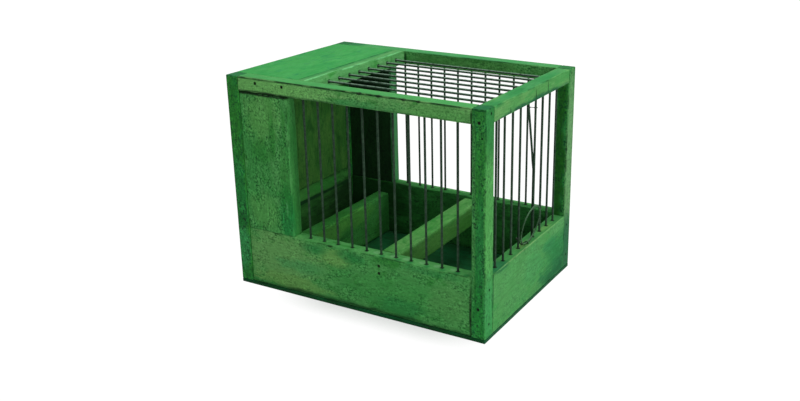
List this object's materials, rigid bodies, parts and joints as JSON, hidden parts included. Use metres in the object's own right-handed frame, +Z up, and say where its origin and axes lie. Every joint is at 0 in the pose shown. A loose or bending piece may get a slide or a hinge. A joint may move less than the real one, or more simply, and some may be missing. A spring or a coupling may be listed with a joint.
{
  "type": "canary breeding cage",
  "caption": "Small wooden breeding cage with wire bars on three sides, an open wire top, a solid nest end, a perch and a swinging cup ring.",
  "frame": {"origin": "middle of the floor sheet's underside, midway between the cage's four outer faces", "axes": "+Z up, +X from the solid nest end towards the barred end with the cup ring, +Y from the front wall to the rear wall"},
  "size_m": [0.2635, 0.18, 0.201],
  "materials": {
    "floor_wood": "dark green stain, matt",
    "post_wood": "green stain on sawn softwood, matt",
    "board_wood": "green stain on sawn softwood, matt",
    "rail_wood": "green stain on sawn softwood, matt",
    "roof_wood": "green stain on sawn softwood, matt",
    "panel_wood": "green stain on sawn softwood, matt",
    "perch_wood": "green stain, worn smooth, matt",
    "bar_wire": "dark grey-green wire, dull",
    "bright_wire": "galvanised wire, satin",
    "painted_wire": "wire stained green with the board",
    "dark_wire": "dark wire, dull",
    "nail_steel": "darkened steel, stained over"
  },
  "bodies": {
    "cage": {"floor_panel": "floor_wood", "front_left_post": "post_wood", "front_right_post": "post_wood", "rear_left_post": "post_wood", "rear_right_post": "post_wood", "front_board": "board_wood", "right_board": "board_wood", "rear_board": "board_wood", "left_board": "panel_wood", "front_top_rail": "rail_wood", "right_top_rail": "rail_wood", "rear_top_rail": "rail_wood", "top_cross_rail": "rail_wood", "roof_panel": "roof_wood", "front_panel": "panel_wood", "rear_panel": "panel_wood", "left_panel": "panel_wood", "nest_sill": "perch_wood", "perch": "perch_wood", "front_bar_1": "bar_wire", "front_bar_2": "bar_wire", "front_bar_3": "bar_wire", "front_bar_4": "bar_wire", "front_bar_5": "bar_wire", "front_bar_6": "bar_wire", "front_bar_7": "bar_wire", "front_bar_8": "bar_wire", "front_bar_9": "bar_wire", "front_bar_10": "bar_wire", "front_bar_11": "bar_wire", "rear_bar_1": "bar_wire", "rear_bar_2": "bar_wire", "rear_bar_3": "bar_wire", "rear_bar_4": "bar_wire", "rear_bar_5": "bar_wire", "rear_bar_6": "bar_wire", "rear_bar_7": "bar_wire", "rear_bar_8": "bar_wire", "rear_bar_9": "bar_wire", "rear_bar_10": "bar_wire", "rear_bar_11": "bar_wire", "side_bar_1": "bar_wire", "side_bar_2": "bar_wire", "side_bar_3": "bar_wire", "side_bar_4": "bar_wire", "side_bar_5": "bar_wire", "side_bar_6": "bar_wire", "side_bar_7": "bar_wire", "side_bar_8": "bar_wire", "side_bar_9": "bar_wire", "top_rods": "bar_wire", "bar_tie": "bright_wire", "ring_staple": "painted_wire", "ring_hook": "dark_wire", "nails_front": "nail_steel", "nails_right": "nail_steel", "nails_rear": "nail_steel", "nails_left": "nail_steel", "nails_floor": "nail_steel"},
    "cup_ring": {"cup_ring": "bright_wire"}
  },
  "joints": [
    {"name": "cup_ring_swing", "type": "hinge", "parent": "cage", "child": "cup_ring", "pos_m": [0.1262, -0.002, 0.0584], "axis": [0, 1, 0], "range_deg": [-9.5, 79]}
  ]
}
